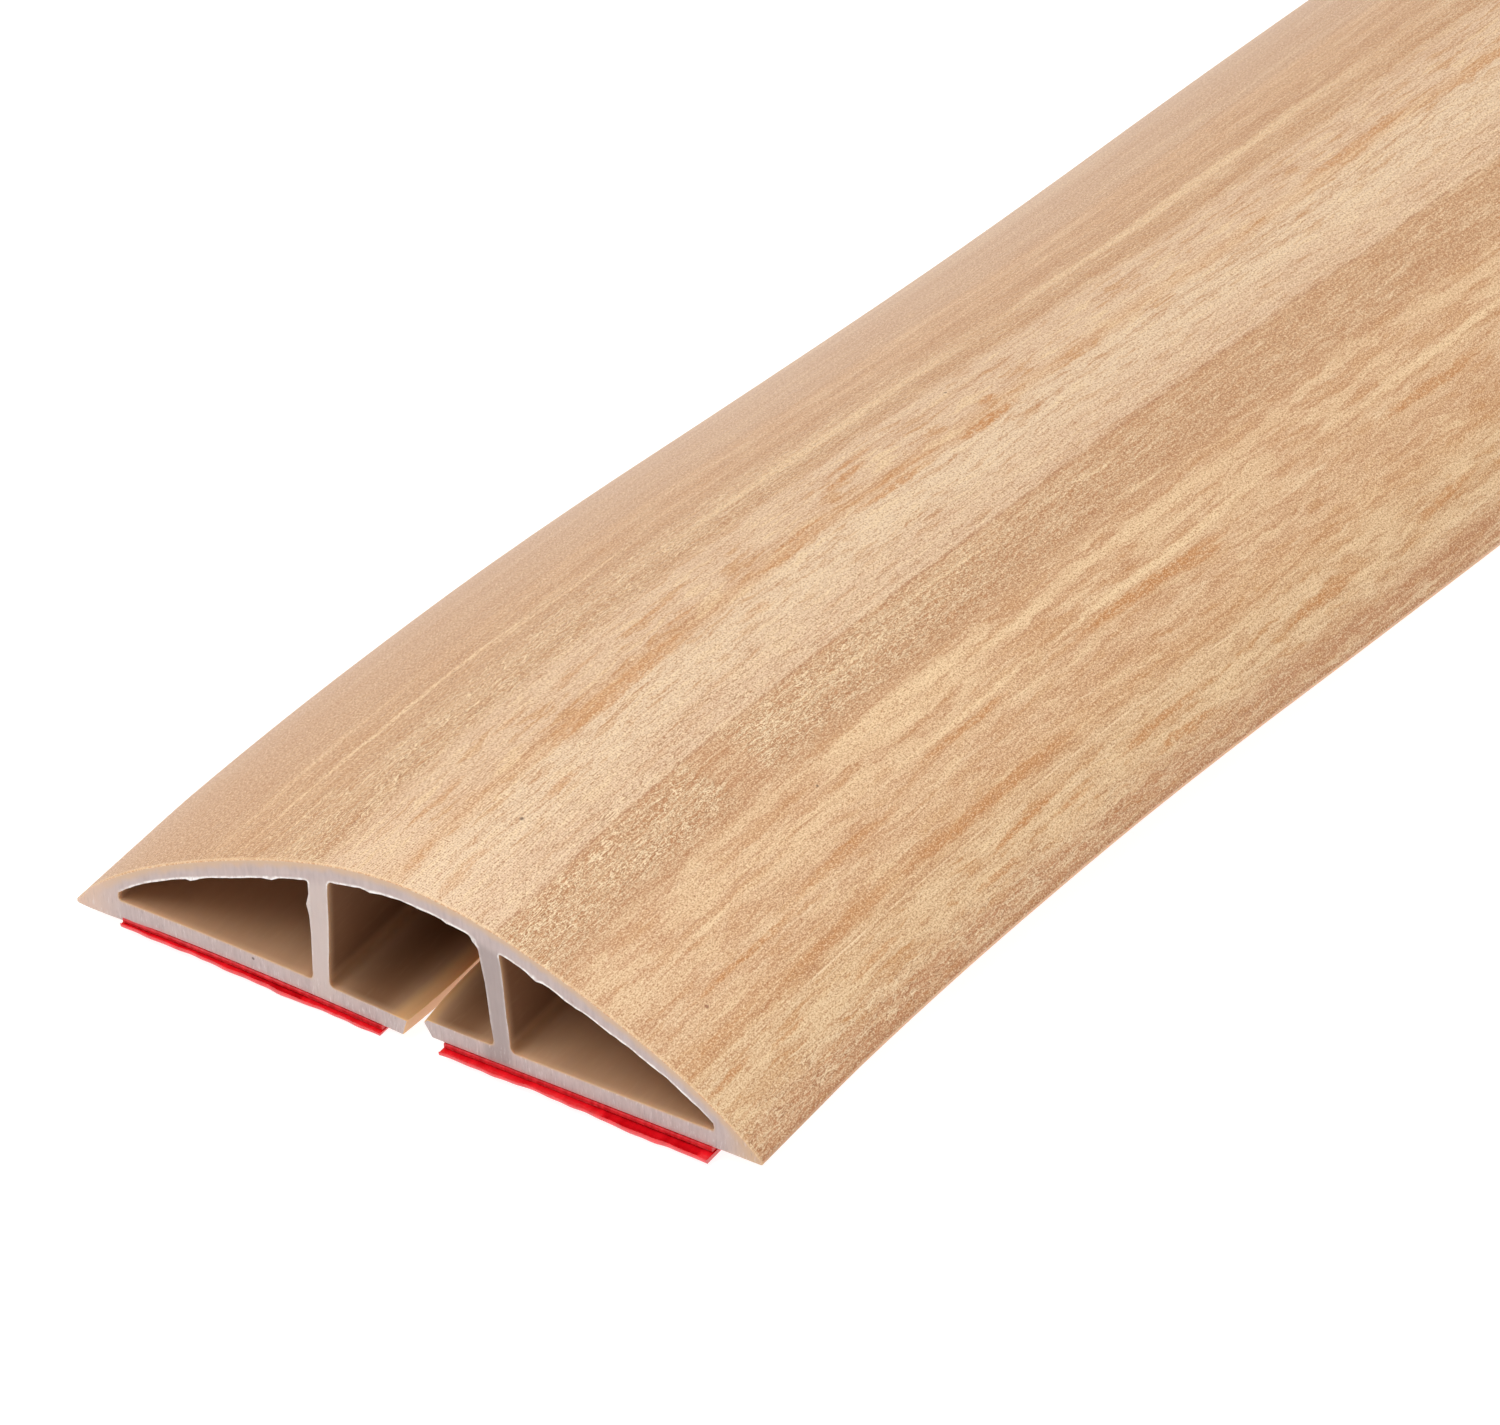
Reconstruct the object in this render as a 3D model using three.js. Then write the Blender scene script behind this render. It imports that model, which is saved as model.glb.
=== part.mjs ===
// Floor cord cover: a low D-shaped strip of soft PVC with three channels and a slit base,
// and two runs of double-sided tape under it, each with its red release film still on.
// Millimetres. +X across the width, +Y along the length, +Z up; the floor is z = 0.
import * as THREE from "three";

// ---- driving dimensions ----
const LENGTH = 1200; // stock length, 4 ft
const WIDTH = 70;
const HEIGHT = 15.5; // body alone, base to crown
const BASE_T = 1.75; // base web
const TIP_H = 0.32; // thickness left at the two long feather edges
const WALL = { outTop: 9.7, outBot: 10.15, inTop: 7.5, inBot: 8.4 }; // |x| of the two partition faces
const CAVITY_X = 30.4; // |x| where the side channels run out
const LIPS = { leftTop: -0.05, leftBot: -0.6, rightTop: 0.65, rightBot: 1.36 }; // x of the slit's two lips
const LIP_CHAMFER = 0.35; // on the right lip's upper corner
const LIP_SPREAD = { left: 0.45, right: 0.6, reach: 9 }; // how far a cut end has sprung open
const ROOT_R = 0.55; // fillet at the partition roots
const TAPE_X0 = 3.1; // |x| of the tape's inner edge
const TAPE_X1 = 30.1; // |x| of the tape's outer edge
const TAPE_T = 0.45;
const FILM_T = 0.2;
const FILM_OUT = 0.65; // the release film runs past each cut end
const FILM_SIDE = 0.1; // and past each side of the tape
const CLEAR = 0.04; // gap left between laid-on layers
const BODY_Z = FILM_T + CLEAR + TAPE_T + CLEAR; // underside of the base above the film's underside

// Outer and inner arch: z as an even polynomial in u = x / half width.
const HALF = WIDTH / 2;
const even = (c) => (x) => {
  const q = (x / HALF) ** 2;
  return c[0] + q * (c[1] + q * (c[2] + q * c[3]));
};
const outerArch = even([HEIGHT, -19.35, 12.38, TIP_H - HEIGHT + 19.35 - 12.38]);
const innerArch = even([13.73, -22.73, 24.34, -18.56]);

// Coil set: distance from a cut end -> height of the strip's underside above the floor.
const RISE = [
  [0, 0.88],
  [7.5, 1.8],
  [15, 2.67],
  [30, 3.62],
  [45, 4.03],
  [60, 4.08],
  [76, 3.68],
  [92, 2.96],
  [108, 2.28],
  [124, 1.67],
  [140, 1.26],
  [156, 1.1],
  [172, 1.08],
  [188, 0.95],
  [204, 0.71],
  [220, 0.38],
  [236, 0.13],
  [252, 0.02],
  [268, 0],
];
const END_SLOPE = Math.tan((7.1 * Math.PI) / 180);

// Cubic through the table, with central slopes.
function rise(d) {
  const last = RISE.length - 1;
  if (d >= RISE[last][0]) return [0, 0];
  let i = 0;
  while (i < last - 1 && d > RISE[i + 1][0]) i++;
  const slope = (k) =>
    k === 0
      ? END_SLOPE
      : k >= last - 1
        ? 0
        : (RISE[k + 1][1] - RISE[k - 1][1]) / (RISE[k + 1][0] - RISE[k - 1][0]);
  const [x0, y0] = RISE[i];
  const [x1, y1] = RISE[i + 1];
  const h = x1 - x0;
  const t = (d - x0) / h;
  const m0 = slope(i) * h;
  const m1 = slope(i + 1) * h;
  const z =
    y0 * (2 * t ** 3 - 3 * t ** 2 + 1) +
    m0 * (t ** 3 - 2 * t ** 2 + t) +
    y1 * (-2 * t ** 3 + 3 * t ** 2) +
    m1 * (t ** 3 - t ** 2);
  const dz =
    (y0 * (6 * t ** 2 - 6 * t) +
      m0 * (3 * t ** 2 - 4 * t + 1) +
      y1 * (6 * t - 6 * t ** 2) +
      m1 * (3 * t ** 2 - 2 * t)) /
    h;
  return [z, dz];
}

// Near a cut end the free lip of the left half hangs a little below the right half's.
const SAG = 0.95;
const SAG_REACH = 90;
function sag(x, h, d) {
  if (x <= -28 || x > 0 || d >= SAG_REACH) return 0;
  const across = ((x + 28) / 27.5) ** 2;
  const low = BODY_Z + BASE_T + 0.3;
  const up = h <= low ? 1 : Math.max(0, 1 - (h - low) / (HEIGHT - 3.5 - low));
  const t = 1 - Math.max(0, d) / SAG_REACH;
  return -SAG * across * up * t * t * (3 - 2 * t);
}

// The two lips spring apart over the last few millimetres before a cut end.
function spring(x, h, d) {
  if (Math.abs(x) > 2.3 || h > BODY_Z + BASE_T + 0.01 || d >= LIP_SPREAD.reach)
    return 0;
  const t = 1 - Math.max(0, d) / LIP_SPREAD.reach;
  return (x < 0.3 ? -LIP_SPREAD.left : LIP_SPREAD.right) * t * t;
}

// Section point (x, height h above the film's underside), station y -> part frame.
function place(x, h, y, out) {
  const d = HALF_L - Math.abs(y);
  const [z, dz] = rise(Math.max(0, d));
  const a = Math.atan(dz);
  const side = y < 0 ? -1 : 1;
  const s = sag(x, h, d);
  // the section stays square to the strip, so the crown leans out over a drooping end
  const run = d < 0 ? d : 0;
  const hh = h + s;
  out.set(
    x + spring(x, h, d),
    side * (HALF_L - (d - run) - run * Math.cos(a) + hh * Math.sin(a)),
    z + run * Math.sin(a) + hh * Math.cos(a),
  );
}

const HALF_L = LENGTH / 2;
const nearStations = [
  0, 4, 8, 13, 19, 26, 34, 43, 52, 61, 70, 80, 91, 104, 120, 138, 156, 175, 195,
  215, 232, 250, 268,
];

// Extrudes a section along the strip. over: how far it runs past each cut end.
function run(shape, over) {
  const ds = nearStations.slice();
  if (over > 0) ds.unshift(-over);
  const far = ds.map((d) => HALF_L - d);
  const ys = far.concat(
    ds
      .slice()
      .reverse()
      .map((d) => d - HALF_L),
  );
  const steps = ys.length - 1;
  const g = new THREE.ExtrudeGeometry(shape, {
    depth: steps,
    steps,
    bevelEnabled: false,
    curveSegments: 3,
  });
  const p = g.getAttribute("position");
  const v = new THREE.Vector3();
  for (let i = 0; i < p.count; i++) {
    place(p.getX(i), p.getY(i), ys[Math.round(p.getZ(i))], v);
    p.setXYZ(i, v.x, v.y, v.z);
  }
  g.deleteAttribute("uv");
  g.computeVertexNormals();
  return g;
}

// ---- body section ----
// Breaks in x that the base, tape and film share, so that the layers follow one another exactly.
const BREAKS = [
  TAPE_X0 - FILM_SIDE,
  TAPE_X0,
  4.5,
  7,
  10,
  14,
  18,
  23,
  28,
  TAPE_X1,
  TAPE_X1 + FILM_SIDE,
];
const B = BODY_Z;
const lerp = (a, b, t) => a + (b - a) * t;
const archPoints = (f, x0, x1, n) => {
  const pts = [];
  for (let i = 0; i <= n; i++) {
    const x = lerp(x0, x1, i / n);
    pts.push([x, B + f(x)]);
  }
  return pts;
};
function trace(path, pts) {
  for (const [x, z] of pts) path.lineTo(x, z);
}

const body = new THREE.Shape();
body.moveTo(LIPS.rightBot, B);
for (const x of BREAKS) body.lineTo(x, B);
body.lineTo(HALF - 0.35, B);
body.quadraticCurveTo(HALF, B, HALF, B + 0.18);
trace(body, archPoints(outerArch, HALF - 0.12, 26, 5));
trace(body, archPoints(outerArch, 26, -26, 20).slice(1));
trace(body, archPoints(outerArch, -26, -(HALF - 0.12), 5).slice(1));
body.lineTo(-HALF, B + 0.18);
body.quadraticCurveTo(-HALF, B, -(HALF - 0.35), B);
for (const x of BREAKS.slice().reverse()) body.lineTo(-x, B);
trace(body, [
  [LIPS.leftBot, B],
  [LIPS.leftTop, B + BASE_T],
  [-4.4, B + BASE_T],
  [-(WALL.inBot - ROOT_R), B + BASE_T],
]);
const inTopZ = B + innerArch(WALL.inTop);
const outTopZ = B + innerArch(WALL.outTop);
body.quadraticCurveTo(
  -WALL.inBot,
  B + BASE_T,
  -(WALL.inBot - 0.05),
  B + BASE_T + ROOT_R,
);
body.lineTo(-(WALL.inTop + 0.03), inTopZ - ROOT_R);
body.quadraticCurveTo(
  -WALL.inTop,
  inTopZ,
  -(WALL.inTop - ROOT_R),
  B + innerArch(WALL.inTop - ROOT_R),
);
trace(
  body,
  archPoints(
    innerArch,
    -(WALL.inTop - ROOT_R),
    WALL.inTop - ROOT_R,
    6,
  ).slice(1),
);
body.quadraticCurveTo(WALL.inTop, inTopZ, WALL.inTop + 0.03, inTopZ - ROOT_R);
body.lineTo(WALL.inBot - 0.05, B + BASE_T + ROOT_R);
body.quadraticCurveTo(
  WALL.inBot,
  B + BASE_T,
  WALL.inBot - ROOT_R,
  B + BASE_T,
);
trace(body, [
  [4.4, B + BASE_T],
  [LIPS.rightTop + LIP_CHAMFER, B + BASE_T],
  [LIPS.rightTop, B + BASE_T - LIP_CHAMFER],
  [LIPS.rightBot, B],
]);

// Side channels: wall, floor, and the arch falling to a narrow rounded corner.
for (const s of [1, -1]) {
  const hole = new THREE.Path();
  const cornerTop = B + innerArch(CAVITY_X - 0.15);
  hole.moveTo(s * (WALL.outBot + ROOT_R), B + BASE_T);
  for (const x of [14, 18, 22, 26]) hole.lineTo(s * x, B + BASE_T);
  hole.lineTo(s * (CAVITY_X - 0.3), B + BASE_T + 0.05);
  hole.quadraticCurveTo(
    s * CAVITY_X,
    B + BASE_T + 0.1,
    s * (CAVITY_X - 0.15),
    cornerTop,
  );
  for (const [x, z] of archPoints(
    innerArch,
    CAVITY_X - 0.15,
    WALL.outTop + ROOT_R,
    9,
  ).slice(1))
    hole.lineTo(s * x, z);
  hole.quadraticCurveTo(
    s * WALL.outTop,
    outTopZ,
    s * (WALL.outTop + 0.02),
    outTopZ - ROOT_R,
  );
  hole.lineTo(s * (WALL.outBot - 0.03), B + BASE_T + ROOT_R);
  hole.quadraticCurveTo(
    s * WALL.outBot,
    B + BASE_T,
    s * (WALL.outBot + ROOT_R),
    B + BASE_T,
  );
  body.holes.push(hole);
}

// ---- tape and release film sections ----
function band(s, x0, x1, z0, z1) {
  const xs = BREAKS.filter((x) => x >= x0 && x <= x1).map((x) => s * x);
  if (s < 0) xs.reverse();
  const shape = new THREE.Shape();
  shape.moveTo(xs[0], z0);
  for (const x of xs.slice(1)) shape.lineTo(x, z0);
  for (const x of xs.slice().reverse()) shape.lineTo(x, z1);
  return shape;
}

const cover = new THREE.MeshStandardMaterial({
  color: 0xcda67d,
  roughness: 0.55,
  metalness: 0,
});
const adhesive = new THREE.MeshStandardMaterial({
  color: 0xd9463f,
  roughness: 0.3,
  metalness: 0,
  transparent: true,
  opacity: 0.7,
});
const film = new THREE.MeshStandardMaterial({
  color: 0xdd0a18,
  roughness: 0.18,
  metalness: 0,
});

const part = new THREE.Group();
part.name = "floor_cord_cover";
function add(name, geometry, material) {
  const mesh = new THREE.Mesh(geometry, material);
  mesh.name = name;
  part.add(mesh);
}

add("cover_body", run(body, 0), cover);
const tapeZ = FILM_T + CLEAR;
for (const [side, s] of [
  ["left", -1],
  ["right", 1],
]) {
  add(
    side + "_adhesive_tape",
    run(band(s, TAPE_X0, TAPE_X1, tapeZ, tapeZ + TAPE_T), 0),
    adhesive,
  );
  add(
    side + "_release_liner",
    run(band(s, TAPE_X0 - FILM_SIDE, TAPE_X1 + FILM_SIDE, 0, FILM_T), FILM_OUT),
    film,
  );
}

export default part;
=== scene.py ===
import bmesh
import bpy
import numpy as np
from mathutils import Matrix, Vector
from mathutils.geometry import delaunay_2d_cdt


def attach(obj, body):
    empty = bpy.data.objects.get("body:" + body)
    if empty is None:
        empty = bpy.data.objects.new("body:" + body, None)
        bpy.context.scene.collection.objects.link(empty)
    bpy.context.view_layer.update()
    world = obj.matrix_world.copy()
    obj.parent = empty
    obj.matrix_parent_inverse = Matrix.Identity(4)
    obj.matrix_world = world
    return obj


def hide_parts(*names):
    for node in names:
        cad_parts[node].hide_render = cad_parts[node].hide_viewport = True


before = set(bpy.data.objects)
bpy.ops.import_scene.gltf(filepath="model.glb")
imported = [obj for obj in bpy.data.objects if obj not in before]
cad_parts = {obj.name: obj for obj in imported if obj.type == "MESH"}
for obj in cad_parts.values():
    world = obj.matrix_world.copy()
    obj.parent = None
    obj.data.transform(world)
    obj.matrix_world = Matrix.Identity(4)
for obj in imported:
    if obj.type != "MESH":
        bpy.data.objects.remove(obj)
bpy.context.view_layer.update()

MM = 0.001
rng = np.random.default_rng(4711)

# ------------------------------------------------------------------ the section and its place
LENGTH, HALF_L, HALF = 1200.0, 600.0, 35.0
HEIGHT, BASE_T, TIP_H = 15.49, 1.75, 0.32
FILM_T, TAPE_T, CLEAR = 0.2, 0.45, 0.04
B = FILM_T + CLEAR + TAPE_T + CLEAR
TAPE_Z = FILM_T + CLEAR
TAPE_X0, TAPE_X1, FILM_SIDE = 3.1, 30.1, 0.1
SAG, SAG_REACH = 0.95, 90.0

RISE = np.array(
    [
        (0, 0.88), (7.5, 1.8), (15, 2.67), (30, 3.62), (45, 4.03), (60, 4.08), (76, 3.68),
        (92, 2.96), (108, 2.28), (124, 1.67), (140, 1.26), (156, 1.1), (172, 1.08), (188, 0.95),
        (204, 0.71), (220, 0.38), (236, 0.13), (252, 0.02), (268, 0),
    ],
    float,
)
SLOPE = np.zeros(len(RISE))
SLOPE[1:-1] = (RISE[2:, 1] - RISE[:-2, 1]) / (RISE[2:, 0] - RISE[:-2, 0])
SLOPE[0] = np.tan(np.radians(7.1))
SLOPE[-2:] = 0


def smooth(e0, e1, x):
    t = np.clip((np.asarray(x, float) - e0) / (e1 - e0), 0, 1)
    return t * t * (3 - 2 * t)


def outer_arch(x):
    q = (x / HALF) ** 2
    return HEIGHT + q * (-19.35 + q * (12.38 + q * (TIP_H - HEIGHT + 19.35 - 12.38)))


def inner_arch(x):
    q = (x / HALF) ** 2
    return 13.73 + q * (-22.73 + q * (24.34 - q * 18.56))


def rise(d):
    """Height of the strip's underside above the floor, and its slope, at a distance from a cut end."""
    d = np.clip(np.asarray(d, float), 0, RISE[-1, 0])
    i = np.clip(np.searchsorted(RISE[:, 0], d, side="left") - 1, 0, len(RISE) - 2)
    w = RISE[i + 1, 0] - RISE[i, 0]
    t = (d - RISE[i, 0]) / w
    y0, y1, m0, m1 = RISE[i, 1], RISE[i + 1, 1], SLOPE[i] * w, SLOPE[i + 1] * w
    z = y0 * (2 * t**3 - 3 * t**2 + 1) + m0 * (t**3 - 2 * t**2 + t) + y1 * (3 * t**2 - 2 * t**3) + m1 * (t**3 - t**2)
    dz = (y0 * (6 * t**2 - 6 * t) + m0 * (3 * t**2 - 4 * t + 1) + y1 * (6 * t - 6 * t**2) + m1 * (3 * t**2 - 2 * t)) / w
    return z, np.where(d >= RISE[-1, 0], 0.0, dz)


def sag(x, h, d):
    """The free left half hangs a little at a cut end."""
    low = B + BASE_T + 0.3
    across = np.clip((x + 28) / 27.5, 0, None) ** 2
    up = np.clip(1 - (h - low) / (HEIGHT - 3.5 - low), 0, 1)
    t = np.clip(1 - np.clip(d, 0, None) / SAG_REACH, 0, 1)
    return np.where((x > -28) & (x <= 0), -SAG * across * up * t * t * (3 - 2 * t), 0.0)


def spring(x, h, d):
    """The slit's lips spring apart just before a cut end."""
    t = np.clip(1 - np.clip(d, 0, None) / 9.0, 0, 1)
    lip = smooth(3.6, 1.6, np.abs(x)) * smooth(B + BASE_T + 1.6, B + BASE_T + 0.1, h)
    return np.where(x < 0.3, -0.45, 0.6) * lip * t * t


def place(x, h, y, d=None):
    """Section point to the part's own frame, in millimetres. d may run past the end (negative)."""
    x, h, y = np.broadcast_arrays(np.asarray(x, float), np.asarray(h, float), np.asarray(y, float))
    if d is None:
        d = HALF_L - np.abs(y)
    side = np.where(y < 0, -1.0, 1.0)
    z, dz = rise(d)
    a = np.arctan(dz)
    over = np.minimum(d, 0)
    hh = h + sag(x, h, d)
    return np.stack(
        [
            x + spring(x, h, d),
            side * (HALF_L - (d - over) - over * np.cos(a) + hh * np.sin(a)),
            z + over * np.sin(a) + hh * np.cos(a),
        ],
        -1,
    )


def bez(p0, p1, p2, n):
    t = np.linspace(0, 1, n + 1)[:, None]
    p0, p1, p2 = (np.asarray(p, float) for p in (p0, p1, p2))
    return (1 - t) ** 2 * p0 + 2 * t * (1 - t) * p1 + t * t * p2


def line(p0, p1, step):
    p0, p1 = np.asarray(p0, float), np.asarray(p1, float)
    n = max(1, int(np.ceil(np.linalg.norm(p1 - p0) / step)))
    return p0 + (p1 - p0) * np.linspace(0, 1, n + 1)[:, None]


def along(f, x0, x1, step):
    """Points on z = f(x) at an even spacing along the curve."""
    xs = np.linspace(x0, x1, 2000)
    zs = f(xs)
    s = np.concatenate([[0], np.cumsum(np.hypot(np.diff(xs), np.diff(zs)))])
    n = max(2, int(np.ceil(s[-1] / step)))
    x = np.interp(np.linspace(0, s[-1], n + 1), s, xs)
    return np.stack([x, f(x)], 1)


def chain(*runs):
    """Joins runs of points end to end, without the doubled ends, as a closed loop."""
    pts = []
    for r in runs:
        for p in np.asarray(r, float).reshape(-1, 2):
            if not pts or np.hypot(*(p - pts[-1])) > 1e-4:
                pts.append(p)
    while np.hypot(*(pts[0] - pts[-1])) < 1e-4:
        pts.pop()
    return np.array(pts)


# arc length of the domed top, from its left edge
_xs = np.linspace(-HALF, HALF, 8001)
_ss = np.concatenate([[0], np.cumsum(np.hypot(np.diff(_xs), np.diff(outer_arch(_xs))))])
ARC = float(_ss[-1])


def arc_of(x):
    return np.interp(x, _xs, _ss)


def wall_face(x_top, z_top, x_bot, z_bot, bow, n=9):
    """A partition's face, from top to bottom, bowed a little sideways."""
    t = np.linspace(0, 1, n + 1)
    return np.stack([x_top + (x_bot - x_top) * t + bow * 4 * t * (1 - t), z_top + (z_bot - z_top) * t], 1)


R, RS = 0.6, 0.34  # fillets: at the roots and at the tops of the partitions
FLARE = 1.15  # the right partition widens where its outer face meets the dome
IN_TOP, IN_BOT, OUT_TOP, OUT_BOT = 7.5, 8.4, 9.7, 10.15
CAV = 30.4
zi, zo = float(inner_arch(IN_TOP)), float(inner_arch(OUT_TOP))

tip_r = bez((HALF - 0.30, 0.0), (HALF + 0.0, 0.0), (HALF - 0.02, 0.17), 4)
tip_l = tip_r[::-1] * (-1, 1)
dome = along(outer_arch, HALF - 0.06, -(HALF - 0.06), 0.62)


def right_lip():
    return chain_open(
        line((4.4, BASE_T), (1.06, BASE_T), 0.6),
        bez((1.06, BASE_T), (0.98, BASE_T), (0.94, BASE_T - 0.05), 2),
        line((0.94, BASE_T - 0.05), (0.68, BASE_T - 0.33), 0.3),
        bez((0.68, BASE_T - 0.33), (0.63, BASE_T - 0.38), (0.66, BASE_T - 0.46), 2),
        line((0.66, BASE_T - 0.46), (1.33, 0.1), 0.35),
        bez((1.33, 0.1), (1.37, 0.0), (1.48, 0.0), 3),
    )


def chain_open(*runs):
    pts = []
    for r in runs:
        for p in np.asarray(r, float).reshape(-1, 2):
            if not pts or np.hypot(*(p - pts[-1])) > 1e-4:
                pts.append(p)
    return np.array(pts)


def left_lip():
    return chain_open(
        bez((-0.72, 0.0), (-0.62, 0.0), (-0.57, 0.1), 3),
        line((-0.57, 0.1), (-0.09, BASE_T - 0.1), 0.35),
        bez((-0.09, BASE_T - 0.1), (-0.05, BASE_T), (-0.14, BASE_T), 2),
        line((-0.14, BASE_T), (-4.4, BASE_T), 0.6),
    )


main_loop = chain(
    line((1.48, 0.0), (HALF - 0.30, 0.0), 1.1),
    tip_r,
    dome,
    tip_l,
    line((-(HALF - 0.30), 0.0), (-0.72, 0.0), 1.1),
    left_lip(),
    line((-4.4, BASE_T), (-(IN_BOT - R), BASE_T), 0.7),
    bez((-(IN_BOT - R), BASE_T), (-IN_BOT + 0.04, BASE_T), (-(IN_BOT - 0.06), BASE_T + R), 5),
    wall_face(-(IN_BOT - 0.06), BASE_T + R, -(IN_TOP + 0.06), zi - RS, 0.05),
    bez((-(IN_TOP + 0.06), zi - RS), (-IN_TOP, zi), (-(IN_TOP - RS), inner_arch(IN_TOP - RS)), 4),
    along(inner_arch, -(IN_TOP - RS), IN_TOP - FLARE, 0.6),
    bez((IN_TOP - FLARE, inner_arch(IN_TOP - FLARE)), (IN_TOP, zi), (IN_TOP + 0.08, zi - FLARE), 6),
    wall_face(IN_TOP + 0.08, zi - FLARE, IN_BOT - 0.06, BASE_T + R, 0.1),
    bez((IN_BOT - 0.06, BASE_T + R), (IN_BOT - 0.04, BASE_T), (IN_BOT - R, BASE_T), 5),
    line((IN_BOT - R, BASE_T), (4.4, BASE_T), 0.7),
    right_lip(),
)


def side_loop(s):
    top = inner_arch(CAV - 0.15)
    pts = chain(
        line((OUT_BOT + R, BASE_T), (CAV - 0.3, BASE_T + 0.04), 0.9),
        bez((CAV - 0.3, BASE_T + 0.04), (CAV + 0.02, BASE_T + 0.1), (CAV - 0.15, top), 5),
        along(inner_arch, CAV - 0.15, OUT_TOP + RS, 0.6),
        bez((OUT_TOP + RS, inner_arch(OUT_TOP + RS)), (OUT_TOP, zo), (OUT_TOP + 0.02, zo - RS), 4),
        wall_face(OUT_TOP + 0.02, zo - RS, OUT_BOT - 0.04, BASE_T + R, 0.08 if s > 0 else -0.05),
        bez((OUT_BOT - 0.04, BASE_T + R), (OUT_BOT, BASE_T), (OUT_BOT + R, BASE_T), 5),
    )
    return pts * (s, 1)


def area(loop):
    x, z = loop[:, 0], loop[:, 1]
    return 0.5 * float(np.sum(x * np.roll(z, -1) - z * np.roll(x, -1)))


loops = [main_loop, side_loop(-1), side_loop(1)]
loops = [l if (area(l) > 0) == (i == 0) else l[::-1] for i, l in enumerate(loops)]


def normals2(loop):
    """Unit normals in the section, pointing out of the plastic."""
    a = loop - np.roll(loop, 1, 0)
    b = np.roll(loop, -1, 0) - loop
    a /= np.linalg.norm(a, axis=1)[:, None]
    b /= np.linalg.norm(b, axis=1)[:, None]
    t = a + b
    t /= np.maximum(np.linalg.norm(t, axis=1), 1e-6)[:, None]
    return np.stack([t[:, 1], -t[:, 0]], 1)


def dist_to(pts, poly, closed=True):
    """Distance of points to a polyline."""
    a = poly if closed else poly[:-1]
    b = np.roll(poly, -1, 0) if closed else poly[1:]
    ab = b - a
    out = np.full(len(pts), 1e9)
    for i in range(len(a)):
        t = np.clip(((pts - a[i]) @ ab[i]) / max(float(ab[i] @ ab[i]), 1e-9), 0, 1)
        out = np.minimum(out, np.linalg.norm(pts - a[i] - t[:, None] * ab[i], axis=1))
    return out


def inside(pts, loop):
    x, z = pts[:, 0], pts[:, 1]
    hit = np.zeros(len(pts), bool)
    x0, z0 = loop[-1]
    for x1, z1 in loop:
        cross = ((z1 > z) != (z0 > z)) & (x < (x0 - x1) * (z - z1) / (z0 - z1 + 1e-12) + x1)
        hit ^= cross
        x0, z0 = x1, z1
    return hit


# stations along the strip, as distances from an end: close together at the cut
near = np.concatenate(
    [
        [0.0, 0.06, 0.25, 0.6, 1.1, 1.8, 2.8, 4.0, 5.5, 7.2, 9.0, 11.5, 14.5],
        np.arange(18, 60, 4.5),
        np.arange(60, 275, 6.5),
    ]
)
mid = np.linspace(275, 600, 22)[:-1]
D = np.concatenate([near, mid, [600.0]])
Y = np.concatenate([D - HALF_L, (HALF_L - D[:-1])[::-1]])
DD = HALF_L - np.abs(Y)
RUN = np.concatenate([D, (LENGTH - D[:-1])[::-1]])


def tip_drop(x, h0, d):
    """Left of the tape the feather edge's underside hangs a little lower near the cut."""
    return -0.42 * smooth(-26.5, -31.0, x) * smooth(1.9, 0.6, h0) * smooth(-36.0, -34.2, x) * smooth(60, 5, d)


FILM, PLAIN, CUT = 0, 1, 2
KEYS = ("arc", "run", "film_d", "edge_d", "sec_x", "sec_h", "end_d")
blocks, n_verts = [], 0  # arrays of vertices with their attributes
quads, q_mat = [], []


def add_block(x, h0, y, d, run, film_d, edge_d):
    """Vertices of the body; h0 is above the body's underside. Returns their indices."""
    global n_verts
    x, h0, y, d, run, film_d, edge_d = (np.ravel(a) for a in np.broadcast_arrays(x, h0, y, d, run, film_d, edge_d))
    p = place(x, h0 + B + tip_drop(x, h0, d), y, d)
    blocks.append(np.column_stack([p, arc_of(x), run, film_d, edge_d, x, h0, d]))
    n_verts += len(x)
    return np.arange(n_verts - len(x), n_verts)


def shell(grid, flip=False):
    """Quads between the rows of a grid of indices whose rows close on themselves."""
    a, b = grid[:-1], grid[1:]
    q = np.stack([a, b, np.roll(b, -1, 1), np.roll(a, -1, 1)], -1).reshape(-1, 4)
    return q[:, ::-1] if flip else q


# small burrs and nicks the knife left at the near cut: (x, h, reach, push out of the plastic)
BURRS = [
    (-9.75, 9.45, 0.5, 0.4), (-9.8, 8.8, 0.4, -0.12), (-13.6, 10.9, 0.6, 0.16), (-21.9, 7.4, 0.8, 0.16),
    (13.3, 10.85, 0.7, 0.18), (16.6, 9.75, 0.6, -0.1), (7.22, 12.45, 0.5, 0.22), (4.6, 13.2, 0.7, 0.1), (-3.0, 13.5, 0.8, 0.08),
]


def ragged(loop, seed):
    """How far the cut's rim stands up, and how far it is pushed sideways, round a loop."""
    r = np.random.default_rng(seed)
    i = np.arange(len(loop))
    up = 0.05 + 0.035 * np.sin(i * 0.9 + seed) + r.uniform(-0.02, 0.03, len(loop))
    up = up * smooth(2.2, 4.5, loop[:, 1])
    push = r.uniform(-0.018, 0.018, len(loop)) * smooth(2.0, 3.0, loop[:, 1])
    for bx, bz, reach, out in BURRS:
        q = np.hypot(loop[:, 0] - bx, loop[:, 1] - bz)
        push = push + out * np.clip(1 - q / reach, 0, 1)
        up = up + 0.12 * np.clip(1 - q / (reach * 1.6), 0, 1)
    return up, push


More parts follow.
